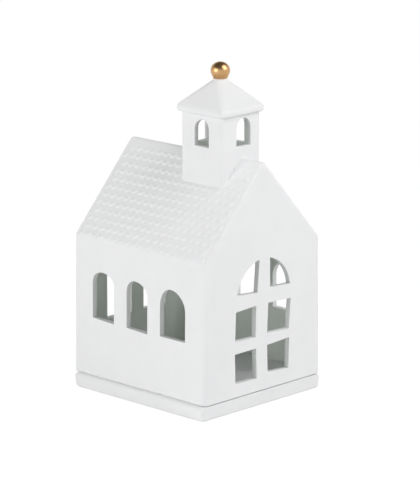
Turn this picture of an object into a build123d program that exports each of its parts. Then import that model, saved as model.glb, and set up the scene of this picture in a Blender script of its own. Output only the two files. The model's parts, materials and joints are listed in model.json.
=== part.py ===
# Porcelain tealight house: a church-shaped hood with a bell tower, standing loose on a base plate
# that carries a tealight. Millimetres, +Z up, front gable towards -Y, origin under the middle of the base.
import os
from math import atan2, cos, hypot, sin, tan

from build123d import *

os.makedirs("parts", exist_ok=True)

# Nave: the four walls
nave_width = 85.3
nave_depth = 96.7
wall_height = 75.2
wall = 3.0
side_flare = 1.0
corner_radius = 2.2
foot_radius = 1.6

# Nave: the roof and its courses of scalloped tiles
roof_rise = 46.8
roof_thickness = 3.0
ridge_radius = 1.2
ridge_band = 4.1
course_count = 12
tiles_per_course = 18
tile_relief = 0.65
tile_sagitta = 1.9

# Front window, cut as six openings between bars
front_window_width = 40.6
front_window_height = 62.7
front_window_sill = 8.3
front_window_shift = -0.9
front_post_width = 9.0
front_post_shift = -1.2
front_lower_height = 15.5
front_lower_bar = 6.6
front_middle_height = 15.7
front_upper_bar = 7.9

# Rear windows, a pair of tall arches
rear_window_width = 17.2
rear_window_height = 37.0
rear_window_sill = 25.3
rear_pier = 9.0

# Side windows, three arches cut by hand, from the rear one to the front one
side_window_width = 15.9
side_window_height = 25.8
side_window_sill = 31.6
side_window_width_shares = (0.95, 0.94, 1.1)
side_window_place_shares = (0.272, 0.015, -0.253)

# Bell tower
tower_width = 27.9
tower_depth = 30.0
tower_wall = 3.0
tower_forward = 17.0
tower_rise = 21.9
tower_corner_radius = 1.0
tower_opening_width = 9.7
tower_opening_height = 14.6
tower_opening_sill = 5.6

# Tower cap
cap_overhang = 1.9
cap_lip = 3.0
cap_lip_radius = 1.4
cap_corner_radius = 1.6
cap_rise = 14.3
cap_top_width = 8.2
cap_top_radius = 3.4
cap_wall = 3.0

# Finial
ball_radius = 5.25
ball_lift = 3.4
peg_radius = 1.6
peg_clearance = 0.15

# Base plate
base_height = 8.0
base_ledge = 1.3
base_setback = 0.3
base_draft = 0.6
base_corner_radius = 2.2
base_edge_radius = 1.0
plinth_height = 2.2
plinth_clearance = 0.8
plinth_corner_radius = 2.0
plinth_edge_radius = 0.6
well_depth = 6.0
well_clearance = 0.8

# Tealight
cup_diameter = 38.0
cup_height = 15.5
cup_skin = 0.4
wax_height = 12.6
wick_radius = 0.8
wick_stub = 6.5
sustainer_radius = 6.0
sustainer_plate = 0.4
sustainer_neck_radius = 1.6
sustainer_neck_height = 4.0
filling_clearance = 0.15

# How far a cut runs past the faces that it opens
overrun = 2.0

# Levels and lines that the pieces share
half_width = nave_width / 2
half_depth = nave_depth / 2
foot_half_width = half_width + side_flare
inner_half_width = half_width - wall
inner_foot_half_width = foot_half_width - wall
inner_half_depth = half_depth - wall
eave_level = base_height + wall_height
ridge_level = eave_level + roof_rise
roof_angle = atan2(roof_rise, half_width)
inner_ridge_level = ridge_level - roof_thickness / cos(roof_angle)
inner_eave_level = inner_ridge_level - inner_half_width * tan(roof_angle)
tower_inner_width = tower_width - 2 * tower_wall
tower_inner_depth = tower_depth - 2 * tower_wall
tower_top = ridge_level + tower_rise
cap_top = tower_top + cap_lip + cap_rise

front_plane = Plane.XZ.offset(half_depth)
rear_plane = Plane.XZ.offset(-half_depth)
left_plane = Plane.YZ.offset(-half_width)
tower_plane = Plane.XZ.offset(tower_forward)


def arch(width, height):
    # An upright opening with a half-round head, standing on the current location
    straight = height - width / 2
    Rectangle(width, straight, align=(Align.CENTER, Align.MIN))
    with Locations((0, straight)):
        Circle(width / 2)


# Outline of the hood across the nave, with its softened ridge
with BuildSketch() as nave_section:
    with BuildLine():
        Polyline(
            (-foot_half_width, base_height),
            (foot_half_width, base_height),
            (half_width, eave_level),
            (0, ridge_level),
            (-half_width, eave_level),
            close=True,
        )
    make_face()
    fillet(nave_section.vertices().sort_by(Axis.Y)[-1], ridge_radius)

# Outline of the tower across the nave, standing astride the roof
with BuildSketch() as tower_section:
    with Locations((0, eave_level)):
        Rectangle(tower_width, tower_top - eave_level, align=(Align.CENTER, Align.MIN))
    add(nave_section.sketch, mode=Mode.SUBTRACT)

# Front gable: soft outer corners and foot, and one arched window left as six openings between its bars
front_lower_bar_level = base_height + front_window_sill + front_lower_height
front_upper_bar_level = front_lower_bar_level + front_lower_bar + front_middle_height
with BuildPart() as front_gable_wall:
    with BuildSketch(front_plane):
        add(nave_section.sketch)
    extrude(amount=-wall)
    front_edges = front_gable_wall.faces().sort_by(Axis.Y)[0].edges().sort_by(Axis.X)
    fillet((front_edges[0], front_edges[-1]), corner_radius)
    fillet(front_gable_wall.edges().group_by(Axis.Z)[0].sort_by(Axis.Y)[:-1], foot_radius)
    with BuildSketch(front_plane.offset(overrun)):
        with Locations((front_window_shift, base_height + front_window_sill)):
            arch(front_window_width, front_window_height)
        with Locations((front_post_shift, base_height)):
            Rectangle(
                front_post_width, wall_height, align=(Align.CENTER, Align.MIN), mode=Mode.SUBTRACT
            )
        with Locations((0, front_lower_bar_level)):
            Rectangle(
                nave_width, front_lower_bar, align=(Align.CENTER, Align.MIN), mode=Mode.SUBTRACT
            )
        with Locations((0, front_upper_bar_level)):
            Rectangle(
                nave_width, front_upper_bar, align=(Align.CENTER, Align.MIN), mode=Mode.SUBTRACT
            )
    extrude(amount=-wall - 2 * overrun, mode=Mode.SUBTRACT)
front_gable_wall.part.label = "front_gable_wall"
export_step(front_gable_wall.part, "parts/front_gable_wall.step")

# Rear gable: two tall arched windows either side of a pier
rear_window_place = (rear_pier + rear_window_width) / 2
with BuildPart() as rear_gable_wall:
    with BuildSketch(rear_plane):
        add(nave_section.sketch)
    extrude(amount=wall)
    rear_edges = rear_gable_wall.faces().sort_by(Axis.Y)[-1].edges().sort_by(Axis.X)
    fillet((rear_edges[0], rear_edges[-1]), corner_radius)
    fillet(rear_gable_wall.edges().group_by(Axis.Z)[0].sort_by(Axis.Y)[1:], foot_radius)
    with BuildSketch(rear_plane.offset(-overrun)):
        for side in (-1, 1):
            with Locations((side * rear_window_place, base_height + rear_window_sill)):
                arch(rear_window_width, rear_window_height)
    extrude(amount=wall + 2 * overrun, mode=Mode.SUBTRACT)
rear_gable_wall.part.label = "rear_gable_wall"
export_step(rear_gable_wall.part, "parts/rear_gable_wall.step")

# Side walls: between the gables, mitred at the eave against the roof
with BuildSketch() as side_section:
    with BuildLine():
        Polyline(
            (-foot_half_width, base_height),
            (-inner_foot_half_width, base_height),
            (-inner_half_width, inner_eave_level),
            (-half_width, eave_level),
            close=True,
        )
    make_face()
with BuildPart() as left_side_wall:
    with BuildSketch(Plane.XZ):
        add(side_section.sketch)
    extrude(amount=inner_half_depth, both=True)
    outer_foot = left_side_wall.edges().filter_by(Axis.Y).group_by(Axis.Z)[0].sort_by(Axis.X)[0]
    fillet(outer_foot, foot_radius)
    with BuildSketch(left_plane.offset(-overrun)):
        for place_share, width_share in zip(side_window_place_shares, side_window_width_shares):
            with Locations((nave_depth * place_share, base_height + side_window_sill)):
                arch(side_window_width * width_share, side_window_height)
    extrude(amount=wall + 2 * overrun, mode=Mode.SUBTRACT)
left_side_wall.part.label = "left_side_wall"
export_step(left_side_wall.part, "parts/left_side_wall.step")

with BuildPart() as right_side_wall:
    mirror(left_side_wall.part, about=Plane.YZ)
right_side_wall.part.label = "right_side_wall"
export_step(right_side_wall.part, "parts/right_side_wall.step")

# Roof slopes: between the gables, from the eave mitre to the ridge, with lapped courses of round tiles
# that stop square to the roof round the tower's foot
slope_length = hypot(half_width, roof_rise)
roof_run = 2 * inner_half_depth
course_pitch = (slope_length - ridge_band) / course_count
course_reach = course_pitch + tile_sagitta
tile_pitch = roof_run / tiles_per_course
tile_radius = (tile_pitch**2 / 4 + tile_sagitta**2) / (2 * tile_sagitta)
tile_tilt = atan2(tile_relief, course_reach)
tower_foot_reach = tower_width / 2 / cos(roof_angle)
down_slope = Vector(-cos(roof_angle), 0, -sin(roof_angle))
off_slope = Vector(-sin(roof_angle), 0, cos(roof_angle))
off_tile = off_slope * cos(tile_tilt) - down_slope * sin(tile_tilt)
with BuildPart() as left_roof_slope:
    with BuildSketch(Plane.XZ):
        with BuildLine():
            Polyline(
                (-half_width, eave_level),
                (0, ridge_level),
                (0, inner_ridge_level),
                (-inner_half_width, inner_eave_level),
                close=True,
            )
        make_face()
        add(nave_section.sketch, mode=Mode.INTERSECT)
    extrude(amount=inner_half_depth, both=True)
    for course in range(course_count):
        lip = Vector(0, 0, ridge_level) + off_slope * tile_relief
        lip += down_slope * (ridge_band + (course + 1) * course_pitch)
        with BuildSketch(Plane(lip, x_dir=(0, 1, 0), z_dir=off_tile)):
            with Locations((0, -tile_sagitta)):
                Rectangle(roof_run, course_pitch, align=(Align.CENTER, Align.MAX))
            with Locations((0, -tile_radius)):
                with GridLocations(tile_pitch, 0, tiles_per_course + course % 2, 1):
                    Circle(tile_radius)
            Rectangle(roof_run, 2 * course_reach, mode=Mode.INTERSECT)
        extrude(amount=-2 * tile_relief)
    with BuildSketch(Plane.XZ):
        add(side_section.sketch)
    extrude(amount=inner_half_depth, both=True, mode=Mode.SUBTRACT)
    with BuildSketch(Plane((0, 0, ridge_level), x_dir=(0, 1, 0), z_dir=off_slope)):
        with Locations((-tower_forward, 0)):
            Rectangle(tower_depth, tower_foot_reach, align=(Align.CENTER, Align.MIN))
    extrude(amount=2 * tile_relief, mode=Mode.SUBTRACT)
    with BuildSketch(Plane.XY.offset(eave_level)):
        with Locations((0, -tower_forward)):
            Rectangle(tower_inner_width, tower_inner_depth)
    extrude(amount=tower_top - eave_level, mode=Mode.SUBTRACT)
left_roof_slope.part.label = "left_roof_slope"
export_step(left_roof_slope.part, "parts/left_roof_slope.step")

with BuildPart() as right_roof_slope:
    mirror(left_roof_slope.part, about=Plane.YZ)
right_roof_slope.part.label = "right_roof_slope"
export_step(right_roof_slope.part, "parts/right_roof_slope.step")

# Bell tower: a hollow shaft astride the ridge, open to the nave below, with an arch in each face
tower_sill_level = ridge_level + tower_opening_sill
with BuildPart() as bell_tower:
    with BuildSketch(tower_plane):
        add(tower_section.sketch)
    extrude(amount=tower_depth / 2, both=True)
    fillet(bell_tower.edges().filter_by(Axis.Z), tower_corner_radius)
    with BuildSketch(Plane.XY.offset(eave_level)):
        with Locations((0, -tower_forward)):
            Rectangle(tower_inner_width, tower_inner_depth)
    extrude(amount=tower_top - eave_level + overrun, mode=Mode.SUBTRACT)
    with BuildSketch(tower_plane):
        with Locations((0, tower_sill_level)):
            arch(tower_opening_width, tower_opening_height)
    extrude(amount=tower_depth / 2 + overrun, both=True, mode=Mode.SUBTRACT)
    with BuildSketch(Plane.YZ):
        with Locations((-tower_forward, tower_sill_level)):
            arch(tower_opening_width, tower_opening_height)
    extrude(amount=tower_width / 2 + overrun, both=True, mode=Mode.SUBTRACT)
bell_tower.part.label = "bell_tower"
export_step(bell_tower.part, "parts/bell_tower.step")

# Tower cap: a hollow pyramid with soft hips, a rounded lip and a small flat top, holed for the finial's peg
cap_width = tower_width + 2 * cap_overhang
cap_depth = tower_depth + 2 * cap_overhang
with BuildPart() as tower_cap:
    with BuildSketch(Plane.XY.offset(tower_top)):
        with Locations((0, -tower_forward)):
            RectangleRounded(cap_width, cap_depth, cap_corner_radius)
    extrude(amount=cap_lip)
    fillet(tower_cap.edges().group_by(Axis.Z)[0], cap_lip_radius)
    with BuildSketch(Plane.XY.offset(tower_top + cap_lip)):
        with Locations((0, -tower_forward)):
            RectangleRounded(cap_width, cap_depth, cap_corner_radius)
    with BuildSketch(Plane.XY.offset(cap_top)):
        with Locations((0, -tower_forward)):
            RectangleRounded(cap_top_width, cap_top_width, cap_top_radius)
    loft()
    with BuildSketch(Plane.XY.offset(tower_top)):
        with Locations((0, -tower_forward)):
            Rectangle(tower_inner_width, tower_inner_depth)
    with BuildSketch(Plane.XY.offset(cap_top - cap_wall)):
        with Locations((0, -tower_forward)):
            Rectangle(cap_top_width - cap_wall, cap_top_width - cap_wall)
    loft(mode=Mode.SUBTRACT)
    with Locations((0, -tower_forward, cap_top)):
        Hole(peg_radius + peg_clearance, depth=cap_wall + overrun)
tower_cap.part.label = "tower_cap"
export_step(tower_cap.part, "parts/tower_cap.step")

# Finial: a ball flattened where it sits on the cap, with a peg down through the cap's flat top
ball_seat_radius = (ball_radius**2 - ball_lift**2) ** 0.5
with BuildPart() as finial_ball:
    with BuildSketch(tower_plane):
        with BuildLine():
            Polyline(
                (0, cap_top + ball_lift + ball_radius),
                (0, cap_top - cap_wall),
                (peg_radius, cap_top - cap_wall),
                (peg_radius, cap_top),
                (ball_seat_radius, cap_top),
            )
            ThreePointArc(
                (ball_seat_radius, cap_top),
                (ball_radius, cap_top + ball_lift),
                (0, cap_top + ball_lift + ball_radius),
            )
        make_face()
    revolve(axis=Axis((0, -tower_forward, 0), (0, 0, 1)))
finial_ball.part.label = "finial_ball"
export_step(finial_ball.part, "parts/finial_ball.step")

# Base plate: drafted slab with a plinth that locates the hood and a round well for the tealight
base_width = 2 * (foot_half_width + base_ledge)
base_depth = nave_depth - 2 * base_setback
plinth_width = 2 * (inner_foot_half_width - plinth_clearance)
plinth_depth = 2 * (inner_half_depth - plinth_clearance)
plinth_top = base_height + plinth_height
cup_radius = cup_diameter / 2
with BuildPart() as base_plate:
    with BuildSketch():
        RectangleRounded(base_width - 2 * base_draft, base_depth - 2 * base_draft, base_corner_radius)
    with BuildSketch(Plane.XY.offset(base_height)):
        RectangleRounded(base_width, base_depth, base_corner_radius)
    loft()
    fillet(base_plate.edges().group_by(Axis.Z)[0], base_edge_radius)
    fillet(base_plate.edges().group_by(Axis.Z)[-1], base_edge_radius)
    with BuildSketch(Plane.XY.offset(base_height)):
        RectangleRounded(plinth_width, plinth_depth, plinth_corner_radius)
    extrude(amount=plinth_height)
    fillet(base_plate.edges().group_by(Axis.Z)[-1], plinth_edge_radius)
    with Locations((0, 0, plinth_top)):
        Hole(cup_radius + well_clearance, depth=well_depth)
base_plate.part.label = "base_plate"
export_step(base_plate.part, "parts/base_plate.step")

# Tealight cup: thin metal, standing on the floor of the well
cup_floor = plinth_top - well_depth
with BuildPart() as tealight_cup:
    with BuildSketch(Plane.XY.offset(cup_floor)):
        Circle(cup_radius)
    extrude(amount=cup_height)
    with BuildSketch(Plane.XY.offset(cup_floor + cup_skin)):
        Circle(cup_radius - cup_skin)
    extrude(amount=cup_height, mode=Mode.SUBTRACT)
tealight_cup.part.label = "tealight_cup"
export_step(tealight_cup.part, "parts/tealight_cup.step")

# Wick sustainer: a metal plate on the cup's floor with a short neck that grips the wick
sustainer_floor = cup_floor + cup_skin
sustainer_top = sustainer_floor + sustainer_plate + sustainer_neck_height
with BuildPart() as wick_sustainer:
    with BuildSketch(Plane.XY.offset(sustainer_floor)):
        Circle(sustainer_radius)
    extrude(amount=sustainer_plate)
    with BuildSketch(Plane.XY.offset(sustainer_floor + sustainer_plate)):
        Circle(sustainer_neck_radius)
        Circle(wick_radius + filling_clearance, mode=Mode.SUBTRACT)
    extrude(amount=sustainer_neck_height)
wick_sustainer.part.label = "wick_sustainer"
export_step(wick_sustainer.part, "parts/wick_sustainer.step")

# Wax: fills the cup round the sustainer and the wick
wax_top = sustainer_floor + wax_height
with BuildPart() as wax:
    with BuildSketch(Plane.XY.offset(sustainer_floor)):
        Circle(cup_radius - cup_skin - filling_clearance)
    extrude(amount=wax_height)
    with BuildSketch(Plane.XY.offset(sustainer_floor)):
        Circle(sustainer_radius + filling_clearance)
    extrude(amount=sustainer_plate + filling_clearance, mode=Mode.SUBTRACT)
    with BuildSketch(Plane.XY.offset(sustainer_floor)):
        Circle(sustainer_neck_radius + filling_clearance)
    extrude(amount=sustainer_top + filling_clearance - sustainer_floor, mode=Mode.SUBTRACT)
    with BuildSketch(Plane.XY.offset(sustainer_floor)):
        Circle(wick_radius + filling_clearance)
    extrude(amount=wax_height + overrun, mode=Mode.SUBTRACT)
wax.part.label = "wax"
export_step(wax.part, "parts/wax.step")

# Wick: stands on the sustainer's plate and out of the wax
with BuildPart() as wick:
    with BuildSketch(Plane.XY.offset(sustainer_floor + sustainer_plate)):
        Circle(wick_radius)
    extrude(amount=wax_top + wick_stub - sustainer_floor - sustainer_plate)
wick.part.label = "wick"
export_step(wick.part, "parts/wick.step")
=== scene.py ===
import json
import math

import bmesh
import bpy
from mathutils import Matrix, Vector

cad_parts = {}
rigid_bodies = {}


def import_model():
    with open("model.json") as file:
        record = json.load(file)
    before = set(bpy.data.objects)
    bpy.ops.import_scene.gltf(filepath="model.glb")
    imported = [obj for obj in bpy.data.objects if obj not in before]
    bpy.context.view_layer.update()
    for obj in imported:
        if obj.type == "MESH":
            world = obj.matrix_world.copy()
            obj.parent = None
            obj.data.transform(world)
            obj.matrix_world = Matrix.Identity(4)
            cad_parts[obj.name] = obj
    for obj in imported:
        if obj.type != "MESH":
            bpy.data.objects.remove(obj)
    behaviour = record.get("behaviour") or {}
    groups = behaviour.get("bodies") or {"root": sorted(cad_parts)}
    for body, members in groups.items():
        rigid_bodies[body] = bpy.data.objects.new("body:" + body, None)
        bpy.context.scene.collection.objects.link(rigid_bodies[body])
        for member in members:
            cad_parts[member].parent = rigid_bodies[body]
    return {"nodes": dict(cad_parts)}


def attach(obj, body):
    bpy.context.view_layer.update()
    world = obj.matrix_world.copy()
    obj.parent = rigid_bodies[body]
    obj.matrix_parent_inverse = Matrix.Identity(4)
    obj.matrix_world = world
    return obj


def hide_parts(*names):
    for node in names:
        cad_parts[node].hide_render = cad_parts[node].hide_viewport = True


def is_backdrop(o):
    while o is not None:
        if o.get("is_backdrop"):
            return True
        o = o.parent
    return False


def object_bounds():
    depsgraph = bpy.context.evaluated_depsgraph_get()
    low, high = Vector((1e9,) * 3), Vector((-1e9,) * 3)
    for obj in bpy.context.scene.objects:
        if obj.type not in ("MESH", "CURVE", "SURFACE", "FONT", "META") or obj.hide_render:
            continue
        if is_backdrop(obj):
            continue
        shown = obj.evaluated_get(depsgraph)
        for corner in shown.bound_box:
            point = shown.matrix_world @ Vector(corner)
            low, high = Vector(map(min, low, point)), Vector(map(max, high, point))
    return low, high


# Porcelain tealight house: a church-shaped hood with a bell tower that stands loose on a base plate
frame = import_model()
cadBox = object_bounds()
mm = 0.001
weld = 0.002  # millimetres: vertices nearer than this are one
flat = math.radians(0.2)  # faces that turn less than this are one
sharp = math.radians(42)  # edges that turn more than this are rims
overrun = 5  # millimetres that a cut runs past what it opens
print("frame loaded, nodes:", len(frame["nodes"]))


# Working habits: pick, edit, choose by place, apply
def deselectAll():
    if bpy.context.mode != "OBJECT":
        bpy.ops.object.mode_set(mode="OBJECT")
    bpy.ops.object.select_all(action="DESELECT")


def pickOnly(piece):
    deselectAll()
    piece.select_set(True)
    bpy.context.view_layer.objects.active = piece


def named(name):
    piece = bpy.context.object
    piece.name = name
    piece.data.name = name
    return piece


def choose(piece, kind, test):
    pickOnly(piece)
    bpy.ops.object.mode_set(mode="EDIT")
    bpy.ops.mesh.select_mode(type=kind)
    bpy.ops.mesh.select_all(action="DESELECT")
    mesh = bmesh.from_edit_mesh(piece.data)
    for part in {"VERT": mesh.verts, "EDGE": mesh.edges, "FACE": mesh.faces}[kind]:
        if test(part):
            part.select_set(True)
    bmesh.update_edit_mesh(piece.data)


def chooseAll(piece):
    pickOnly(piece)
    bpy.ops.object.mode_set(mode="EDIT")
    bpy.ops.mesh.select_all(action="SELECT")


def middle(edge):
    return (edge.verts[0].co + edge.verts[1].co) / 2


def along(edge, axis, share=0.99):
    step = edge.verts[1].co - edge.verts[0].co
    return step.length > 0 and abs(step[axis]) > share * step.length


def ridgeEdge(height, slack=0.1):  # a test for the edges along the top of a gable
    return lambda edge: middle(edge).z > (height - slack) * mm and along(edge, 1)


def useModifier(piece, kind, **settings):
    pickOnly(piece)
    bpy.ops.object.modifier_add(type=kind)
    modifier = piece.modifiers[-1]
    for key, value in settings.items():
        setattr(modifier, key, value)
    bpy.ops.object.modifier_apply(modifier=modifier.name)


def cutAway(piece, *cutters):
    for cutter in cutters:
        useModifier(piece, "BOOLEAN", operation="DIFFERENCE", solver="EXACT", object=cutter)
        bpy.data.objects.remove(cutter)


def roundEdges(piece, test, radius, segments=4):
    choose(piece, "EDGE", test)
    bpy.ops.mesh.bevel(
        offset=radius * mm, segments=segments, profile=0.5, clamp_overlap=True, loop_slide=False
    )
    deselectAll()


def cleanUp(piece):
    chooseAll(piece)
    bpy.ops.mesh.remove_doubles(threshold=weld * mm)
    bpy.ops.mesh.normals_make_consistent(inside=False)
    deselectAll()


def smoothShade(piece, degrees):  # round edges look round, and large faces stay flat between them
    pickOnly(piece)
    bpy.ops.object.shade_smooth_by_angle(angle=math.radians(degrees))
    useModifier(piece, "WEIGHTED_NORMAL", mode="FACE_AREA", keep_sharp=True)
    deselectAll()


def copyOf(piece, name):
    pickOnly(piece)
    bpy.ops.object.duplicate()
    return named(name)


def joinAll(name, *pieces):
    deselectAll()
    for piece in pieces:
        piece.select_set(True)
    bpy.context.view_layer.objects.active = pieces[0]
    bpy.ops.object.join()
    return named(name)


def settle(piece, move=(0, 0, 0), turn=(0, 0, 0), scale=(1, 1, 1)):  # its object stays at the origin
    pickOnly(piece)
    piece.location = [v * mm for v in move]
    piece.rotation_euler = turn
    piece.scale = scale
    bpy.ops.object.transform_apply(location=True, rotation=True, scale=True)
    deselectAll()


def keepSide(piece, point, normal):  # cuts the piece at a plane and keeps what the normal points to
    chooseAll(piece)
    bpy.ops.mesh.bisect(
        plane_co=[v * mm for v in point], plane_no=normal, use_fill=True, clear_inner=True, threshold=1e-7
    )
    deselectAll()


def dropCrumbs(piece):  # keeps what hangs together with the highest vertex
    top = max(vertex.co.z for vertex in piece.data.vertices)
    choose(piece, "VERT", lambda vert: vert.co.z == top)
    bpy.ops.mesh.select_linked()
    bpy.ops.mesh.select_all(action="INVERT")
    bpy.ops.mesh.delete(type="VERT")
    deselectAll()


def block(name, low, high):
    deselectAll()
    size = [(b - a) * mm for a, b in zip(low, high)]
    middlePoint = [(a + b) / 2 * mm for a, b in zip(low, high)]
    bpy.ops.mesh.primitive_cube_add(size=1, location=middlePoint, scale=size)
    bpy.ops.object.transform_apply(location=True, rotation=True, scale=True)
    return named(name)


def plate(name, outline, facing, start, end):  # an outline across and up, drawn out along Y or X
    deselectAll()
    bpy.ops.mesh.primitive_circle_add(vertices=len(outline), radius=mm, fill_type="NGON")
    piece = named(name)
    for vertex, (across, up) in zip(piece.data.vertices, outline):
        place = (across, start, up) if facing == "Y" else (start, across, up)
        vertex.co = [v * mm for v in place]
    chooseAll(piece)
    step = (end - start) * mm
    value = (0, step, 0) if facing == "Y" else (step, 0, 0)
    bpy.ops.mesh.extrude_region_move(TRANSFORM_OT_translate={"value": value})
    cleanUp(piece)
    return piece


def ring(halfX, halfY, corner, height, center=(0, 0), count=48):  # a square with round corners, or a circle
    spots = []
    for i in range(count):
        turn = 2 * math.pi * (i + 0.5) / count
        across = math.copysign(halfX - corner, math.cos(turn)) + corner * math.cos(turn)
        deep = math.copysign(halfY - corner, math.sin(turn)) + corner * math.sin(turn)
        spots.append(Vector((center[0] + across, center[1] + deep, height)) * mm)
    return spots


def circleRing(radius, height, center=(0, 0), count=48):
    return ring(radius, radius, radius, height, center, count)


def stack(name, rings):  # a disc drawn up ring by ring, closed at both ends
    deselectAll()
    bpy.ops.mesh.primitive_circle_add(vertices=len(rings[0]), radius=mm, fill_type="NGON")
    piece = named(name)
    for vertex, spot in zip(piece.data.vertices, rings[0]):
        vertex.co = spot
    chooseAll(piece)
    for before, after in zip(rings, rings[1:]):
        bpy.ops.mesh.extrude_region_move()
        mesh = bmesh.from_edit_mesh(piece.data)
        for vert in mesh.verts:
            if vert.select:
                nearest = min(range(len(before)), key=lambda i: (before[i] - vert.co).length_squared)
                vert.co = after[nearest]
        bmesh.update_edit_mesh(piece.data)
    cleanUp(piece)
    return piece


def archOutline(low, high, sills, spring, top, lean, steps=22):  # legs and a head that leans a little
    outline = [(low, sills[0]), (high, sills[1])]
    half = (high - low) / 2
    for i in range(steps + 1):
        turn = math.pi * i / steps
        across = (low + high) / 2 + half * math.cos(turn) + lean * math.sin(turn) ** 2
        outline.append((across, spring + (top - spring) * math.sin(turn)))
    return outline


# The nave's sizes, in millimetres as in the frame
nave = dict(
    halfWidth=42.65, halfDepth=48.34, flare=1.0, wall=3.0, foot=8.0, eave=83.2, ridge=130.0,
    corner=2.2, sideFootRound=1.5, rearFootRound=2.2, rakeRound=1.9, ridgeRound=2.4, rimRound=0.05, seam=45.2,
    rakeSteps=9, frontLift=0.6, frontGap=0.6, hollowFoot=2.0, hollowFlare=1.08,
    rimZone=dict(low=14, high=81, across=30, deep=40),
)
wallLean = nave["flare"] / (nave["eave"] - nave["foot"])
slope = (nave["ridge"] - nave["eave"]) / nave["halfWidth"]
roofAngle = math.atan(slope)
innerHalfWidth = nave["halfWidth"] - nave["wall"]
innerHalfDepth = nave["halfDepth"] - nave["wall"]
innerRidge = nave["ridge"] - nave["wall"] / math.cos(roofAngle)
innerEave = innerRidge - innerHalfWidth * slope


def roofLevel(across):  # height of the roof's outside, round at the ridge
    soft, reach = nave["ridgeRound"], abs(across)
    if reach < soft * math.sin(roofAngle):
        return nave["ridge"] - soft / math.cos(roofAngle) + math.sqrt(soft**2 - reach**2)
    return nave["ridge"] - slope * reach


def gableOutline(roofInset, sideInset, arcSteps=8):  # foot, eave, round ridge, eave, foot
    ridge = nave["ridge"] - roofInset / math.cos(roofAngle)
    side = nave["halfWidth"] - sideInset
    eave = (ridge - slope * (side + wallLean * nave["eave"])) / (1 - slope * wallLean)
    eaveReach = side + wallLean * (nave["eave"] - eave)
    left = [(-side - nave["flare"], nave["foot"]), (-eaveReach, eave)]
    middleUp = ridge - nave["ridgeRound"] / math.cos(roofAngle)
    arc = []
    for i in range(arcSteps + 1):
        turn = math.pi / 2 + roofAngle * (1 - 2 * i / arcSteps)
        arc.append((nave["ridgeRound"] * math.cos(turn), middleUp + nave["ridgeRound"] * math.sin(turn)))
    return left + arc + [(-x, z) for x, z in reversed(left)]


def gableLoft(name):  # the outline drawn along Y, with soft rakes and corners at both ends
    def inset(radius, deep):
        past = max(0, deep - nave["halfDepth"] + radius)
        return radius - math.sqrt(max(0, radius**2 - past**2))

    quarter = [math.pi / 2 * i / nave["rakeSteps"] for i in range(nave["rakeSteps"] + 1)]
    half = [nave["halfDepth"] - nave["rakeRound"] * (1 - math.sin(turn)) for turn in quarter]
    rings = []
    for deep in [-v for v in reversed(half)] + half:
        outline = gableOutline(inset(nave["rakeRound"], abs(deep)), inset(nave["corner"], abs(deep)))
        rings.append([Vector((x, deep, z)) * mm for x, z in outline])
    piece = stack(name, rings)
    chooseAll(piece)
    bpy.ops.mesh.dissolve_limited(angle_limit=flat)
    deselectAll()
    return piece


def gableBlock(name, halfWidth, halfDepth, flare, foot, eave, ridge):  # a box drawn up to a ridge
    piece = block(name, (-halfWidth, -halfDepth, foot), (halfWidth, halfDepth, eave))
    choose(piece, "FACE", lambda face: face.normal.z > 0.9)
    bpy.ops.mesh.extrude_region_move(TRANSFORM_OT_translate={"value": (0, 0, (ridge - eave) * mm)})
    bpy.ops.transform.resize(value=(0, 1, 1), center_override=(0, 0, ridge * mm))
    choose(piece, "VERT", lambda vert: vert.co.z < (foot + weld) * mm)
    bpy.ops.transform.resize(value=((halfWidth + flare) / halfWidth, 1, 1), center_override=(0, 0, foot * mm))
    chooseAll(piece)
    bpy.ops.mesh.remove_doubles(threshold=weld * mm)
    bpy.ops.mesh.dissolve_limited(angle_limit=flat)
    bpy.ops.mesh.normals_make_consistent(inside=False)
    deselectAll()
    return piece


# Windows, cut by hand in the soft clay: corners in millimetres, no two alike
frontPanes = dict(
    lowLeft=[(-21.1, 15.8), (-5.2, 15.5), (-5.7, 31.9), (-21.5, 31.7)],
    lowRight=[(3.1, 17.2), (19.0, 16.2), (19.7, 32.9), (2.6, 32.0)],
    midLeft=[(-21.4, 38.4), (-6.0, 37.9), (-5.6, 54.8), (-20.8, 54.0)],
    midRight=[(2.6, 38.4), (19.2, 37.6), (20.6, 54.0), (3.4, 54.6)],
)
archHead = dict(middle=(0.0, 58.9), radius=20.2, steps=14)
topPanes = dict(
    topLeft=dict(bar=[(-4.7, 61.5), (-3.4, 77.2)], begin=99.5, finish=169.3),
    topRight=dict(bar=[(4.6, 77.6), (4.8, 62.6)], begin=8.4, finish=77.2),
)
leftWindows = dict(
    rear=dict(low=18.5, high=34.4, sills=(39.3, 40.1), spring=59.6, top=65.6, lean=0.7),
    middle=dict(low=-6.2, high=9.1, sills=(38.7, 39.4), spring=58.4, top=65.3, lean=1.3),
    front=dict(low=-33.6, high=-15.4, sills=(39.6, 39.5), spring=55.2, top=65.6, lean=1.3),
)
rightWindows = dict(
    rear=dict(low=18.2, high=34.0, sills=(39.6, 39.8), spring=59.2, top=65.4, lean=-0.6),
    middle=dict(low=-6.0, high=9.2, sills=(39.2, 39.0), spring=58.6, top=65.5, lean=0.8),
    front=dict(low=-33.4, high=-17.3, sills=(39.4, 39.6), spring=56.4, top=64.9, lean=0.6),
)
rearWindows = dict(
    left=dict(low=-21.8, high=-3.7, sills=(33.2, 33.5), spring=60.4, top=70.2, lean=-0.5),
    right=dict(low=5.3, high=21.9, sills=(33.4, 33.1), spring=60.0, top=70.0, lean=0.6),
)


def topPane(bar, begin, finish):  # two corners on the bar, and the arch between two angles in degrees
    outline = list(bar)
    across, up = archHead["middle"]
    radius, steps = archHead["radius"], archHead["steps"]
    for i in range(steps + 1):
        turn = math.radians(begin + (finish - begin) * i / steps)
        outline.append((across + radius * math.cos(turn), up + radius * math.sin(turn)))
    return outline


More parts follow.
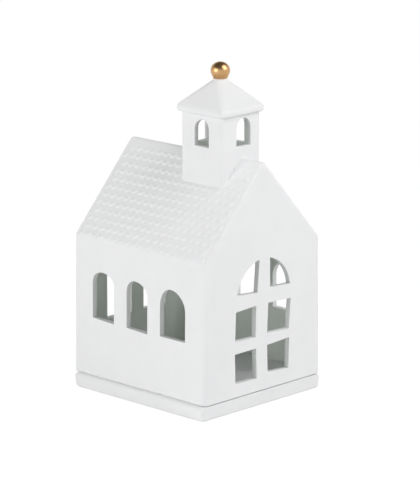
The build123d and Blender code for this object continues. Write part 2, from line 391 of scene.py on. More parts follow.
def wallCutter(name, outline, facing, side, wallAt, wall):  # goes right through a wall, from outside
    return plate("cut_" + name, outline, facing, wallAt + side * overrun, wallAt - side * (wall + overrun))


def windowCutters():
    wall = nave["wall"]
    frontOutlines = dict(frontPanes)
    for name, pane in topPanes.items():
        frontOutlines[name] = topPane(**pane)
    cutters = []
    for name, outline in frontOutlines.items():
        cutters.append(wallCutter(name, outline, "Y", -1, -nave["halfDepth"], wall))
    for name, window in rearWindows.items():
        cutters.append(wallCutter(name, archOutline(**window), "Y", 1, nave["halfDepth"], wall))
    for side, windows in ((-1, leftWindows), (1, rightWindows)):
        for name, window in windows.items():
            wallAt = side * nave["halfWidth"]
            cutters.append(wallCutter(name, archOutline(**window), "X", side, wallAt, wall))
    return cutters


def footCutter(name, facing, side, reach, soft, steps=6):  # rounds the foot of a wall
    foot, past = nave["foot"], nave["halfDepth"] + overrun
    below, outside = foot - overrun, reach + overrun
    outline = [(reach - soft, below), (outside, below), (outside, foot + soft)]
    for i in range(steps + 1):
        turn = math.pi / 2 * i / steps
        outline.append((reach - soft * (1 - math.cos(turn)), foot + soft * (1 - math.sin(turn))))
    return plate(name, [(side * across, up) for across, up in outline], facing, -past, past)


def liftFront(piece, fade=None):  # the ridge rises a little towards the front, but not above the fade
    for vertex in piece.data.vertices:
        deep, up = vertex.co.y / mm, vertex.co.z / mm
        share = min(max((up - nave["eave"]) / (nave["ridge"] - nave["eave"]), 0), 1)
        if fade:
            share *= min(max((fade[1] - up) / (fade[1] - fade[0]), 0), 1)
        vertex.co.z += nave["frontLift"] * share * (nave["halfDepth"] - deep) / (2 * nave["halfDepth"]) * mm


def onWindowRim(edge):  # sharp edges round the windows, away from foot, corners and eaves
    spot, zone = middle(edge) / mm, nave["rimZone"]
    inWalls = abs(spot.x) < zone["across"] or abs(spot.y) < zone["deep"]
    return inWalls and zone["low"] < spot.z < zone["high"] and edge.calc_face_angle() > sharp


def makeNaveShell():
    shell = gableLoft("naveShell")
    sideReach = nave["halfWidth"] + nave["flare"]
    for name, side in (("footLeft", -1), ("footRight", 1)):
        cutAway(shell, footCutter(name, "Y", side, sideReach, nave["sideFootRound"]))
    cutAway(shell, footCutter("footRear", "X", 1, nave["halfDepth"], nave["rearFootRound"]))
    inside = dict(halfWidth=innerHalfWidth, halfDepth=innerHalfDepth, eave=innerEave, ridge=innerRidge)
    cutAway(shell, gableBlock("naveHollow", flare=nave["hollowFlare"], foot=nave["hollowFoot"], **inside))
    cutAway(shell, *windowCutters())
    roundEdges(shell, onWindowRim, nave["rimRound"], segments=3)
    cleanUp(shell)
    liftFront(shell)
    return shell


def splitNave(shell):
    seam = nave["seam"]
    front = copyOf(shell, "frontGable")
    keepSide(front, (0, -seam, 0), (0, -1, 0))
    keepSide(front, (0, 0, nave["foot"] + nave["frontGap"]), (0, 0, 1))  # it doesn't quite reach the base
    rear = copyOf(shell, "rearGable")
    keepSide(rear, (0, seam, 0), (0, 1, 0))
    walls = []
    for name, side in (("leftWall", -1), ("rightWall", 1)):
        wall = copyOf(shell, name)
        keepSide(wall, (0, -seam, 0), (0, 1, 0))
        keepSide(wall, (0, seam, 0), (0, -1, 0))
        keepSide(wall, (0, 0, 0), (side, 0, 0))
        mitre = (side * (nave["eave"] - innerEave), 0, -nave["wall"])
        keepSide(wall, (side * nave["halfWidth"], 0, nave["eave"]), mitre)
        walls.append(wall)
    bpy.data.objects.remove(shell)
    return front, rear, walls[0], walls[1]


frontGable, rearGable, leftWall, rightWall = splitNave(makeNaveShell())
for piece in (frontGable, rearGable, leftWall, rightWall):
    print(piece.name, len(piece.data.polygons), "faces")

# Roof: rows of round-ended tiles pressed in relief, drawn flat, laid on both slopes and melted into one skin
tiles = dict(
    courses=12, across=18, pitch=4.95, ridgeBand=4.1, droop=1.9, sides=20, relief=0.82,
    tipRadius=2.15, tipTilt=10.5, lipRound=0.45, backStart=1.75, backRelief=0.54,
    shift=1.1, reach=dict(left=45.4, right=46.9), fade=dict(left=0.2, right=1.0),
    drip=0.07, dripDrop=0.9, sunk=0.05, bury=1.0, voxel=0.43, soften=3,
)
slopeLength = math.hypot(nave["halfWidth"], nave["ridge"] - nave["eave"])
coursePitch = (slopeLength - tiles["ridgeBand"]) / tiles["courses"]
tilePitch = tiles["pitch"]
courseReach = coursePitch + tiles["droop"]


def makeTile():  # lowest point of the lip at the origin, up the slope along X
    deselectAll()
    relief, radius, low = tiles["relief"], tiles["tipRadius"], tiles["backRelief"]
    bpy.ops.mesh.primitive_cylinder_add(vertices=tiles["sides"], radius=radius * mm, depth=2 * relief * mm)
    lip = named("lip")
    settle(lip, move=(radius, 0, 0))
    roundEdges(lip, lambda edge: middle(edge).z > 0.9 * relief * mm, tiles["lipRound"], segments=2)
    settle(lip, turn=(0, math.radians(tiles["tipTilt"]), 0))
    back = block("tileBack", (tiles["backStart"], -tilePitch / 2, -low), (courseReach, tilePitch / 2, low))
    settle(back, turn=(0, math.atan2(low, courseReach), 0))
    return joinAll("tile", lip, back)


def repeat(piece, count, step):
    offset = [v * mm for v in step]
    useModifier(
        piece, "ARRAY", count=count, use_relative_offset=False, use_constant_offset=True,
        constant_offset_displace=offset,
    )


def makeRows(tile, name, across, firstLip):  # every second course, half a tile apart from the others
    rows = copyOf(tile, name)
    repeat(rows, across, (0, tilePitch, 0))
    settle(rows, move=(-firstLip, -(across - 1) / 2 * tilePitch, 0))
    repeat(rows, tiles["courses"] // 2, (-2 * coursePitch, 0, 0))
    return rows


def makeRoof():
    tile = makeTile()
    firstLip = tiles["ridgeBand"] + coursePitch
    even = makeRows(tile, "evenRows", tiles["across"], firstLip)
    odd = makeRows(tile, "oddRows", tiles["across"] + 1, firstLip + coursePitch)
    bpy.data.objects.remove(tile)
    left = joinAll("leftField", even, odd)
    right = copyOf(left, "rightField")
    settle(right, move=(0, -tiles["shift"], 0))
    for field, side in ((left, "left"), (right, "right")):
        reach = tiles["reach"][side]
        for end in (-1, 1):
            keepSide(field, (0, end * reach, 0), (0, -end, 0))
        choose(field, "VERT", lambda vert: abs(vert.co.y) > (reach - weld) * mm)
        bpy.ops.transform.resize(value=(1, 1, tiles["fade"][side]), center_override=(0, 0, 0))
        settle(field, move=(0, 0, nave["ridge"]), turn=(0, -roofAngle, 0))
    settle(right, scale=(-1, 1, 1))
    cleanUp(right)
    reach, drop, sunk = nave["halfWidth"] + tiles["drip"], tiles["dripDrop"], tiles["sunk"]
    half = [(reach, nave["eave"] - drop), (reach, nave["eave"] - sunk), (0, nave["ridge"] - sunk)]
    innerFoot = innerEave - drop / 2
    outline = [(-across, up) for across, up in half] + [half[1], half[0]]
    outline += [(innerHalfWidth, innerFoot), (0, innerRidge), (-innerHalfWidth, innerFoot)]
    slab = plate("slab", outline, "Y", -nave["seam"] - tiles["bury"], nave["seam"] + tiles["bury"])
    roundEdges(slab, ridgeEdge(nave["ridge"] - sunk), nave["ridgeRound"], segments=5)
    roof = joinAll("roof", slab, left, right)
    useModifier(roof, "REMESH", mode="VOXEL", voxel_size=tiles["voxel"] * mm)
    dropCrumbs(roof)
    useModifier(roof, "SMOOTH", factor=0.5, iterations=tiles["soften"])
    slopes = []
    for name, side in (("leftTiles", -1), ("rightTiles", 1)):
        slopePiece = copyOf(roof, name)
        keepSide(slopePiece, (0, 0, 0), (side, 0, 0))
        liftFront(slopePiece)
        slopes.append(slopePiece)
    bpy.data.objects.remove(roof)
    return slopes


# Bell tower astride the ridge, open on its four sides, with a soft foot where the clay was smoothed
tower = dict(
    halfWidth=13.95, halfDepth=15.0, forward=17.3, wall=3.0, corner=1.5, low=106.0, top=151.9,
    footRound=1.1, footReach=1.3, footSink=0.4, footSlack=0.12, stub=12, calm=5, rimRound=0.5,
)
bellOpenings = dict(
    front=dict(low=-3.6, high=6.6, sills=(135.6, 135.4), spring=144.6, top=150.3, lean=-0.2),
    rear=dict(low=-4.0, high=3.3, sills=(134.5, 134.7), spring=144.8, top=150.1, lean=0.2),
    left=dict(low=-21.9, high=-12.1, sills=(135.2, 135.4), spring=144.2, top=149.3, lean=-0.6),
    right=dict(low=-23.4, high=-12.6, sills=(134.6, 134.5), spring=144.6, top=150.2, lean=0.3),
)


def shaftBlock(name, inset, low, high):
    across, deep = tower["halfWidth"] - inset, tower["halfDepth"] - inset
    return block(name, (-across, -tower["forward"] - deep, low), (across, -tower["forward"] + deep, high))


def roofPrism(name, reach, ridge):  # a piece of roof round the tower's foot
    across = tower["halfWidth"] + reach
    eave = ridge - across * slope
    prism = gableBlock(name, across, tower["halfDepth"] + reach, 0, eave - tower["stub"], eave, ridge)
    roundEdges(prism, ridgeEdge(ridge), nave["ridgeRound"], segments=6)
    settle(prism, move=(0, -tower["forward"], 0))
    return prism


def makeTower():
    across, deep, forward, wall = (tower[key] for key in ("halfWidth", "halfDepth", "forward", "wall"))
    shaft = shaftBlock("bellTower", 0, tower["low"], tower["top"])
    roundEdges(shaft, lambda edge: along(edge, 2), tower["corner"])
    cutAway(shaft, shaftBlock("shaftHollow", wall, tower["low"] - overrun, tower["top"] + overrun))
    walls = dict(
        front=("Y", -1, -forward - deep), rear=("Y", 1, -forward + deep),
        left=("X", -1, -across), right=("X", 1, across),
    )
    for name, place in walls.items():
        cutAway(shaft, wallCutter(name, archOutline(**bellOpenings[name], steps=16), *place, wall))
    useModifier(
        shaft, "BEVEL", width=tower["rimRound"] * mm, segments=3, limit_method="ANGLE",
        angle_limit=sharp, use_clamp_overlap=True, loop_slide=False,
    )
    cleanUp(shaft)
    stub = roofPrism("roofStub", tower["footReach"], nave["ridge"])
    useModifier(shaft, "BOOLEAN", operation="UNION", solver="EXACT", object=stub)
    bpy.data.objects.remove(stub)

    def onFoot(edge):  # where the shaft's outside meets the roof
        spot = middle(edge) / mm
        onRoof = abs(spot.z - roofLevel(spot.x)) < tower["footSlack"]
        depth = min(across - abs(spot.x), deep - abs(spot.y + forward))
        return onRoof and -tower["footSlack"] < depth < tower["corner"] + tower["footSlack"]

    roundEdges(shaft, onFoot, tower["footRound"])
    cutAway(shaft, roofPrism("sunkRoof", tower["footReach"] + overrun, nave["ridge"] - tower["footSink"]))
    cutAway(shaft, shaftBlock("shaftHollow", wall, nave["eave"], nave["ridge"] + wall))
    cleanUp(shaft)
    liftFront(shaft, (nave["ridge"], nave["ridge"] + tower["calm"]))
    return shaft


# Cap: a low pyramid that goes from a square lip to a round seat for the ball
cap = dict(
    forward=17.0, overhang=1.9, lip=3.5, rise=12.8, corner=1.8, lipRound=1.35, brow=3.0, seat=3.9, neck=3.8,
    top=169.2, wall=4.9, hollowRise=11.5, hollowTop=2.5, hollowFoot=1.2, hollowCorner=1.0,
    sharpFrom=1.5, sharpest=0.5, roundSteps=5, slopeSteps=8, slopeShares=(0.12, 0.97),
    seatEdge=[(0, 0.7), (0.05, 0.15), (0.2, 0)],
)
capCenter = (0, -cap["forward"])


def makeCap():
    across, deep = tower["halfWidth"] + cap["overhang"], tower["halfDepth"] + cap["overhang"]
    foot, lipTop = tower["top"], tower["top"] + cap["lip"]
    lipRound, brow, seat, steps = cap["lipRound"], cap["brow"], cap["seat"], cap["roundSteps"]

    def lipRing(inset, height, corner=cap["corner"]):  # sharper corners further in
        corner -= max(0, inset - cap["sharpFrom"]) / 2
        return ring(across - inset, deep - inset, max(corner, cap["sharpest"]), height, capCenter)

    rings = [circleRing(cap["hollowTop"], foot + cap["hollowRise"], capCenter)]
    for height in (foot + cap["hollowFoot"], foot):
        rings.append(lipRing(cap["wall"], height, cap["hollowCorner"]))
    for i in range(steps + 1):  # under edge of the lip
        turn = math.pi / 2 * i / steps
        rings.append(lipRing(lipRound * (1 - math.sin(turn)), foot + lipRound * (1 - math.cos(turn))))
    tilt = math.atan2(across - seat, cap["rise"])
    browFoot = lipTop - brow * math.tan(tilt / 2)
    for i in range(steps + 1):  # over edge, easing into the slope
        turn = tilt * i / steps
        rings.append(lipRing(brow * (1 - math.cos(turn)), browFoot + brow * math.sin(turn)))
    begin, finish = cap["slopeShares"]
    for i in range(cap["slopeSteps"] + 1):  # square below, round above
        share = begin + (finish - begin) * i / cap["slopeSteps"]
        halves = [half + (seat - half) * share for half in (across, deep)]
        corner = cap["corner"] + (seat - cap["corner"]) * share
        rings.append(ring(*halves, min(corner, *halves), lipTop + cap["rise"] * share, capCenter))
    for inset, drop in cap["seatEdge"]:
        rings.append(circleRing(cap["neck"] - inset, cap["top"] - drop, capCenter))
    return stack("towerCap", rings)


# Gold ball, a little flat on top, drawn in to a neck, on a short peg
ball = dict(
    radius=5.08, widest=173.3, top=177.84, below=4.9, neckStart=171.3, neck=3.8, neckInset=0.25,
    seat=169.2, peg=1.6, pegDepth=3.0, edge=0.2, tip=0.12, lowSteps=7, highSteps=20, around=64,
)


def makeBall():
    seat, peg, edge, widest = ball["seat"], ball["peg"], ball["edge"], ball["widest"]
    pegFoot, above = seat - ball["pegDepth"], ball["top"] - widest
    profile = [(peg - edge, pegFoot), (peg, pegFoot + edge), (peg, seat)]
    profile += [(ball["neck"] - ball["neckInset"], seat), (ball["neck"], seat + edge)]
    neckTurn = math.asin((widest - ball["neckStart"]) / ball["below"])
    for i in range(ball["lowSteps"] + 1):  # from the neck up to the widest ring
        turn = neckTurn * (1 - i / ball["lowSteps"])
        profile.append((ball["radius"] * math.cos(turn), widest - ball["below"] * math.sin(turn)))
    for i in range(1, ball["highSteps"]):
        turn = math.pi / 2 * i / ball["highSteps"]
        profile.append((ball["radius"] * math.cos(turn), widest + above * math.sin(turn)))
    profile.append((ball["tip"], ball["top"]))
    rings = [circleRing(radius, height, capCenter, ball["around"]) for radius, height in profile]
    return stack("goldBall", rings)


# Base plate: a thick slab with a low plinth that keeps the hood in place, and a round well
base = dict(
    halfWidth=44.94, halfDepth=48.05, height=8.0, draft=0.6, corner=2.2, footRound=1.2, roundSteps=4,
    topRound=dict(sides=2.6, front=0.25, rear=2.2), around=64,
    topShares=(1, 0.8, 0.6, 0.43, 0.25, 0.18, 0.1, 0.04, 0.01, 0),
    plinthHalfWidth=39.85, plinthHalfDepth=44.55, plinthTop=10.2, plinthCorner=2.0,
    plinthRound=0.6, plinthFillet=0.3,
    wellRadius=19.8, wellFloor=4.2, wellRound=0.6, wellEdge=[(0, 0.5), (0.15, 0.15), (0.5, 0)],
)


def makeBase():
    height, around = base["height"], base["around"]

    def sideRing(sides, front, rear, level):
        inward = base["draft"] * (1 - level / height)
        halves = base["halfWidth"] - inward - sides, base["halfDepth"] - inward - (front + rear) / 2
        return ring(*halves, base["corner"], level, (0, (front - rear) / 2), around)

    def topInset(soft, level):
        past = max(0, level - height + soft)
        return soft - math.sqrt(max(0, soft**2 - past**2))

    def plinthRing(inset, level):
        halves = base["plinthHalfWidth"] - inset, base["plinthHalfDepth"] - inset
        return ring(*halves, base["plinthCorner"], level, count=around)

    quarter = [math.pi / 2 * i / base["roundSteps"] for i in range(base["roundSteps"] + 1)]
    rings = []
    for turn in quarter:
        inset = base["footRound"] * (1 - math.sin(turn))
        rings.append(sideRing(inset, inset, inset, base["footRound"] * (1 - math.cos(turn))))
    for share in base["topShares"]:
        level = height - base["topRound"]["sides"] * share
        insets = [topInset(base["topRound"][edge], level) for edge in ("sides", "front", "rear")]
        rings.append(sideRing(*insets, level))
    rings.append(plinthRing(-base["plinthFillet"], height))
    rings.append(plinthRing(0, height + base["plinthFillet"]))
    top, soft = base["plinthTop"], base["plinthRound"]
    for turn in quarter:
        rings.append(plinthRing(soft * (1 - math.cos(turn)), top - soft * (1 - math.sin(turn))))
    soft = base["wellRound"]
    for turn in quarter:
        radius = base["wellRadius"] + soft * (1 - math.sin(turn))
        rings.append(circleRing(radius, top - soft * (1 - math.cos(turn)), count=around))
    for inset, rise in base["wellEdge"]:
        rings.append(circleRing(base["wellRadius"] - inset, base["wellFloor"] + rise, count=around))
    return stack("basePlate", rings)


# Tealight, pressed metal cup: insets from the radius with heights over the floor, or depths under the rim
cup = dict(
    floor=4.2, radius=19.0, height=15.5, around=64,
    outside=[(3.2, 0.35), (2.6, 0.3), (2.2, 0), (1.4, 0), (0.85, 0.2), (0.62, 0.7), (0.55, 1.4), (0.42, 8.0)],
    rim=[(0.35, 1.2), (0.2, 0.95), (0.03, 0.7), (0, 0.4), (0.08, 0.12), (0.3, 0), (0.55, 0.08), (0.7, 0.4)],
    inside=[(0.82, 8.0), (1.02, 1.4), (1.6, 0.6), (2.2, 0.4), (2.6, 0.6), (3.2, 0.65)],
)


def makeCup():
    low, outer = cup["floor"], cup["radius"]
    top = low + cup["height"]
    profile = [(outer - inset, low + rise) for inset, rise in cup["outside"]]
    profile += [(outer - inset, top - drop) for inset, drop in cup["rim"]]
    profile += [(outer - inset, low + rise) for inset, rise in cup["inside"]]
    rings = [circleRing(radius, height, count=cup["around"]) for radius, height in profile]
    return stack("tealightCup", rings)


# Wax: side and edge as insets from the radius, then radii of the hollow that rises again round the wick
waxBody = dict(
    floor=4.7, radius=18.45, top=17.2, around=64, side=[(1.6, 0.5), (0.9, 1.4), (0.35, 7.5)],
    edge=[(0.25, 0.7), (0.25, 0), (0.5, 0), (0.85, 0.35), (1.4, 0.62), (2.4, 0.7)],
    pool=[(10, 0.8), (6, 0.7), (3, 0.55), (1.5, 0.2), (0.95, -0.05), (0.7, -0.1)],
)


def makeWax():
    outer, top = waxBody["radius"], waxBody["top"]
    profile = [(outer - inset, waxBody["floor"] + rise) for inset, rise in waxBody["side"]]
    profile += [(outer - inset, top - drop) for inset, drop in waxBody["edge"]]
    profile += [(radius, top - drop) for radius, drop in waxBody["pool"]]
    rings = [circleRing(radius, height, count=waxBody["around"]) for radius, height in profile]
    return stack("waxFill", rings)


# Wick foot: a plate with a neck, as radii and heights over its own floor
wickHolder = dict(
    floor=4.75, around=32,
    profile=[
        (5.9, 0), (6.0, 0.1), (6.0, 0.3), (5.9, 0.4), (2.5, 0.4),
        (1.9, 0.75), (1.6, 1.4), (1.35, 4.0), (1.15, 4.1),
    ],
)


def makeWickFoot():
    rings = []
    for radius, rise in wickHolder["profile"]:
        rings.append(circleRing(radius, wickHolder["floor"] + rise, count=wickHolder["around"]))
    return stack("wickFoot", rings)


# Wick: three twisted strands that fray a little at the tip
braid = dict(
    low=5.05, top=23.7, radius=0.8, strands=3, bulge=0.16, twist=3.2,
    fray=0.35, frayFrom=0.94, steps=36, around=24,
)


def makeWick():
    rings = []
    for step in range(braid["steps"] + 1):
        share = step / braid["steps"]
        height = braid["low"] + (braid["top"] - braid["low"]) * share
        thin = 1 - braid["fray"] * max(0, share - braid["frayFrom"]) / (1 - braid["frayFrom"])
        spots = []
        for i in range(braid["around"]):
            turn = 2 * math.pi * i / braid["around"]
            strand = (1 + braid["bulge"] * math.cos(braid["strands"] * turn)) / (1 + braid["bulge"])
            radius = braid["radius"] * strand * thin
            spin = turn + 2 * math.pi * braid["twist"] * share
            spots.append(Vector((radius * math.cos(spin), radius * math.sin(spin), height)) * mm)
        rings.append(spots)
    return stack("wickBraid", rings)


leftTiles, rightTiles = makeRoof()
for piece in (leftTiles, rightTiles):
    cutAway(piece, shaftBlock("shaftHole", tower["wall"], nave["eave"], tower["top"]))
    print(piece.name, len(piece.data.polygons), "faces")
bellTower, towerCap, goldBall, basePlate = makeTower(), makeCap(), makeBall(), makeBase()
tealightCup, waxFill, wickFoot, wick = makeCup(), makeWax(), makeWickFoot(), makeWick()
print("tower, cap, ball, base and tealight modelled")


# Shader maths as plain sums: a wire is a socket that adds its own nodes
class Wire:
    def __init__(self, finish, socket):
        self.finish = finish
        self.socket = socket

    def maths(self, operation, other=None, flipped=False):
        sockets = {0: self} if other is None else {0: other, 1: self} if flipped else {0: self, 1: other}
        return self.finish.add("ShaderNodeMath", dict(operation=operation), sockets)

    def __add__(self, other):
        return self.maths("ADD", other)

    def __sub__(self, other):
        return self.maths("SUBTRACT", other)

    def __rsub__(self, other):
        return self.maths("SUBTRACT", other, True)

    def __mul__(self, other):
        return self.maths("MULTIPLY", other)

    def __abs__(self):
        return self.maths("ABSOLUTE")

    def least(self, other):
        return self.maths("MINIMUM", other)

    def most(self, other):
        return self.maths("MAXIMUM", other)

    __radd__ = __add__
    __rmul__ = __mul__


class Finish:
    def __init__(self, tree):
        self.tree = tree
        tree.nodes.clear()

    def add(self, kind, settings, sockets, output=0):
        node = self.tree.nodes.new(kind)
        for key, value in settings.items():
            setattr(node, key, value)
        for key, value in sockets.items():
            if isinstance(value, Wire):
                self.tree.links.new(value.socket, node.inputs[key])
            else:
                node.inputs[key].default_value = value
        return Wire(self, node.outputs[output]) if node.outputs else node

    def place(self):  # object coordinates in millimetres
        spot = self.add("ShaderNodeTexCoord", {}, {}, "Object")
        scaled = self.add("ShaderNodeVectorMath", dict(operation="SCALE"), {0: spot, "Scale": 1 / mm})
        return [self.add("ShaderNodeSeparateXYZ", {}, {0: scaled}, i) for i in range(3)]

    def noise(self, size, detail=2.0, roughness=0.5):  # size of the blotches in millimetres
        spot = self.add("ShaderNodeTexCoord", {}, {}, "Object")
        sockets = {"Vector": spot, "Scale": 1 / (size * mm), "Detail": detail, "Roughness": roughness}
        return self.add("ShaderNodeTexNoise", {}, sockets, 0)

    def ease(self, value, low, high):
        settings = dict(interpolation_type="SMOOTHSTEP")
        return self.add("ShaderNodeMapRange", settings, {"Value": value, "From Min": low, "From Max": high})

    def blend(self, factor, first, second):
        return self.add("ShaderNodeMix", dict(data_type="RGBA"), {0: factor, 6: first, 7: second}, 2)

    def bump(self, height, depth):  # depth in millimetres
        return self.add("ShaderNodeBump", {}, {"Height": height, "Distance": depth * mm})

    def ray(self, kind):
        return self.add("ShaderNodeLightPath", {}, {}, kind)

    def output(self, shader, kind="Material"):
        self.add("ShaderNodeOutput" + kind, {}, {"Surface": shader})


def newFinish(name):
    material = bpy.data.materials.new(name)
    material.use_nodes = True
    return material, Finish(material.node_tree)


# Finishes, with the sizes of their patterns in millimetres
bisque = dict(
    pale=(0.83, 0.833, 0.838, 1), deep=(0.79, 0.794, 0.80, 1), blotch=14, grain=0.35, grainDepth=0.03,
    wave=9, waveDepth=0.12, rough=0.78, gleam=0.3,
)
glaze = dict(
    color=(0.87, 0.914, 0.868, 1), pool=(0.845, 0.89, 0.845, 1), blotch=20, rough=0.22,
    coat=0.8, coatRough=0.08, smoothing=0.9, start=1.9, full=2.8,
)


def bisqueFinish(name, depthOf=None):  # matte outside, glazed where the clay lies deeper than the outer skin
    material, finish = newFinish(name)
    color = finish.blend(finish.noise(bisque["blotch"]), bisque["pale"], bisque["deep"])
    grain = finish.noise(bisque["grain"], detail=3, roughness=0.6) * bisque["grainDepth"]
    height = grain + finish.noise(bisque["wave"]) * bisque["waveDepth"]
    sockets = {"Base Color": color, "Roughness": bisque["rough"], "Specular IOR Level": bisque["gleam"]}
    if depthOf:
        inside = finish.ease(depthOf(*finish.place()), glaze["start"], glaze["full"])
        glazeColor = finish.blend(finish.noise(glaze["blotch"]), glaze["color"], glaze["pool"])
        sockets["Base Color"] = finish.blend(inside, color, glazeColor)
        sockets["Roughness"] = bisque["rough"] + inside * (glaze["rough"] - bisque["rough"])
        sockets["Coat Weight"] = inside * glaze["coat"]
        sockets["Coat Roughness"] = glaze["coatRough"]
        height = height * (1 - inside * glaze["smoothing"])
    sockets["Normal"] = finish.bump(height, 1)
    finish.output(finish.add("ShaderNodeBsdfPrincipled", {}, sockets))
    return material


def naveDepth(x, y, z):  # how far a spot lies under the outside of walls and roof
    sideReach = nave["halfWidth"] + (nave["eave"] - z).most(0) * wallLean
    roofReach = (nave["ridge"] - z - abs(x) * slope) * math.cos(roofAngle)
    return (sideReach - abs(x)).least(nave["halfDepth"] - abs(y)).least(roofReach)


def towerDepth(x, y, z):
    return (tower["halfWidth"] - abs(x)).least(tower["halfDepth"] - abs(y + tower["forward"]))


lustre = dict(
    bright=(0.60, 0.362, 0.175, 1), dull=(0.52, 0.302, 0.135, 1), wear=3.5, wornFrom=0.35, wornTo=0.7,
    rough=0.25, roughSpread=0.1, dent=2.5, dentDepth=0.03,
)


def goldFinish():
    material, finish = newFinish("goldLustre")
    wear = finish.noise(lustre["wear"])
    worn = finish.ease(wear, lustre["wornFrom"], lustre["wornTo"])
    sockets = {"Base Color": finish.blend(worn, lustre["bright"], lustre["dull"]), "Metallic": 1}
    sockets["Roughness"] = wear * lustre["roughSpread"] + lustre["rough"]
    sockets["Normal"] = finish.bump(finish.noise(lustre["dent"]), lustre["dentDepth"])
    finish.output(finish.add("ShaderNodeBsdfPrincipled", {}, sockets))
    return material


foil = dict(
    bright=(0.82, 0.82, 0.83, 1), dull=(0.68, 0.68, 0.70, 1), streak=0.5, rough=0.22, roughSpread=0.2,
    dent=3, dentDepth=0.05,
)


def metalFinish():
    material, finish = newFinish("cupMetal")
    streak = finish.noise(foil["streak"], detail=3)
    sockets = {"Base Color": finish.blend(streak, foil["bright"], foil["dull"]), "Metallic": 1}
    sockets["Roughness"] = streak * foil["roughSpread"] + foil["rough"]
    sockets["Normal"] = finish.bump(finish.noise(foil["dent"]), foil["dentDepth"])
    finish.output(finish.add("ShaderNodeBsdfPrincipled", {}, sockets))
    return material


paraffin = dict(
    pale=(0.86, 0.85, 0.81, 1), deep=(0.80, 0.79, 0.75, 1), cloud=6, sheen=2, rough=0.35, roughSpread=0.25,
    scatter=0.15, dent=2.5, dentDepth=0.05,
)


def waxFinish():
    material, finish = newFinish("whiteWax")
    cloud = finish.noise(paraffin["cloud"], detail=3)
    sockets = {"Base Color": finish.blend(cloud, paraffin["pale"], paraffin["deep"])}
    sockets["Roughness"] = finish.noise(paraffin["sheen"]) * paraffin["roughSpread"] + paraffin["rough"]
    sockets["Subsurface Weight"] = paraffin["scatter"]
    sockets["Normal"] = finish.bump(finish.noise(paraffin["dent"]), paraffin["dentDepth"])
    finish.output(finish.add("ShaderNodeBsdfPrincipled", {}, sockets))
    return material


yarn = dict(
    pale=(0.86, 0.83, 0.76, 1), deep=(0.70, 0.66, 0.58, 1), fibre=0.4, rough=0.85, fuzz=0.15, fuzzDepth=0.05,
)


def wickFinish():
    material, finish = newFinish("cottonWick")
    fibre = finish.noise(yarn["fibre"], detail=3)
    sockets = {"Base Color": finish.blend(fibre, yarn["pale"], yarn["deep"])}
    sockets["Roughness"] = yarn["rough"]
    sockets["Normal"] = finish.bump(finish.noise(yarn["fuzz"]), yarn["fuzzDepth"])
    finish.output(finish.add("ShaderNodeBsdfPrincipled", {}, sockets))
    return material


naveFinish, towerFinish = bisqueFinish("naveBisque", naveDepth), bisqueFinish("towerBisque", towerDepth)
plainBisque = bisqueFinish("plainBisque")
gold, metal, wax, cotton = goldFinish(), metalFinish(), waxFinish(), wickFinish()

# What stands for what: piece, finish, shading angle, body, slot and the frame's node
size = dict(cad=[list(c) for c in cadBox])
assembly = [
    (frontGable, naveFinish, 40, "house", "bisque", "front_gable_wall"),
    (rearGable, naveFinish, 40, "house", "bisque", "rear_gable_wall"),
    (leftWall, naveFinish, 40, "house", "bisque", "left_side_wall"),
    (rightWall, naveFinish, 40, "house", "bisque", "right_side_wall"),
    (leftTiles, naveFinish, 60, "house", "bisque", "left_roof_slope"),
    (rightTiles, naveFinish, 60, "house", "bisque", "right_roof_slope"),
    (bellTower, towerFinish, 40, "house", "bisque", "bell_tower"),
    (towerCap, plainBisque, 40, "house", "bisque", "tower_cap"),
    (goldBall, gold, 50, "house", "gold_lustre", "finial_ball"),
    (basePlate, plainBisque, 40, "base", "bisque", "base_plate"),
    (tealightCup, metal, 50, "tealight", "cup_metal", "tealight_cup"),
    (waxFill, wax, 50, "tealight", "wax", "wax"),
    (wickFoot, metal, 50, "tealight", "cup_metal", "wick_sustainer"),
    (wick, cotton, 60, "tealight", "wick", "wick"),
]
for piece, material, degrees, body, slot, node in assembly:
    piece.data.materials.clear()
    piece.data.materials.append(material)
    smoothShade(piece, degrees)
    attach(piece, body)
    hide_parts(node)
print("finishes and bodies set")

# Camera at the photograph's angle
view = dict(
    azimuth=-45.91, elevation=14.06, distance=1689.53, sideways=6.9, height=80.26,
    lens=241.35, sensor=36, reach=20,
)
turn, lift = math.radians(view["azimuth"]), math.radians(view["elevation"])
back = Vector((math.sin(turn) * math.cos(lift), -math.cos(turn) * math.cos(lift), math.sin(lift)))
aside = Vector((math.cos(turn), math.sin(turn), 0))
target = (aside * view["sideways"] + Vector((0, 0, view["height"]))) * mm
bpy.ops.object.camera_add(location=target + back * view["distance"] * mm)
camera = bpy.context.object
camera.rotation_euler = back.to_track_quat("Z", "Y").to_euler()
camera.data.sensor_fit = "VERTICAL"
camera.data.sensor_height = view["sensor"]
camera.data.lens = view["lens"]
camera.data.clip_end = view["reach"]
bpy.context.scene.camera = camera
bpy.context.scene.view_settings.view_transform = "Standard"

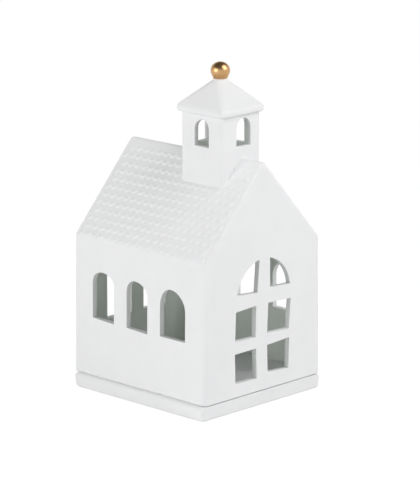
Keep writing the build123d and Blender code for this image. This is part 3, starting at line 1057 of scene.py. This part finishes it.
# Plain studio: pale floor, white behind, a dimmer ceiling, two soft boxes
studio = dict(
    floorSize=8, floorColor=(0.9, 0.9, 0.9, 1), floorShare=0.88, floorGlow=1.08, white=(1, 1, 1, 1),
    horizon=0.7, ceiling=0.33, mirroredCeiling=0.12, ceilingFrom=0.1, ceilingTo=0.7, aimHeight=0.08,
    boxes=dict(
        left=dict(direction=(-0.96, 0.17, 0.22), distance=1.2, size=0.85, power=6.75),
        front=dict(direction=(0.29, -0.65, 0.70), distance=1.0, size=0.78, power=6.05),
    ),
)
deselectAll()
bpy.ops.mesh.primitive_plane_add(size=studio["floorSize"])
floor = named("floor")
floorMaterial, finish = newFinish("paleFloor")
seen = finish.ray("Is Camera Ray").most(finish.ray("Is Glossy Ray")).most(finish.ray("Is Transmission Ray"))
matte = finish.add("ShaderNodeBsdfDiffuse", {}, {"Color": studio["floorColor"]})
glow = finish.add("ShaderNodeEmission", {}, {"Color": studio["white"], "Strength": studio["floorGlow"]})
finish.output(finish.add("ShaderNodeMixShader", {}, {0: seen * studio["floorShare"], 1: matte, 2: glow}))
floor.data.materials.append(floorMaterial)
floor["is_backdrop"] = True

world = bpy.data.worlds.new("studio")
bpy.context.scene.world = world
world.use_nodes = True
finish = Finish(world.node_tree)
heading = finish.add("ShaderNodeTexCoord", {}, {}, "Generated")
height = finish.add("ShaderNodeSeparateXYZ", {}, {0: heading}, 2)
low = 1 - finish.ease(height, studio["ceilingFrom"], studio["ceilingTo"])
mirrored = finish.ray("Is Glossy Ray").most(finish.ray("Is Transmission Ray"))
backdropShare = finish.ray("Is Camera Ray").most(mirrored * low)
above = studio["ceiling"] + mirrored * (studio["mirroredCeiling"] - studio["ceiling"])  # darker if mirrored
level = above + low * (studio["horizon"] - above)
room = finish.add("ShaderNodeBackground", {}, {"Color": studio["white"], "Strength": level})
backdrop = finish.add("ShaderNodeBackground", {}, {"Color": studio["white"], "Strength": 1})
finish.output(finish.add("ShaderNodeMixShader", {}, {0: backdropShare, 1: room, 2: backdrop}), "World")

aimPoint = Vector((0, 0, studio["aimHeight"]))
for name, lamp in studio["boxes"].items():
    aim = Vector(lamp["direction"]).normalized()
    bpy.ops.object.light_add(type="AREA", location=aim * lamp["distance"] + aimPoint)
    softBox = bpy.context.object
    softBox.name = name + "SoftBox"
    softBox.rotation_euler = aim.to_track_quat("Z", "Y").to_euler()
    softBox.data.size = lamp["size"]
    softBox.data.energy = lamp["power"]
print("studio set")

size["visual"] = [list(c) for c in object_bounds()]
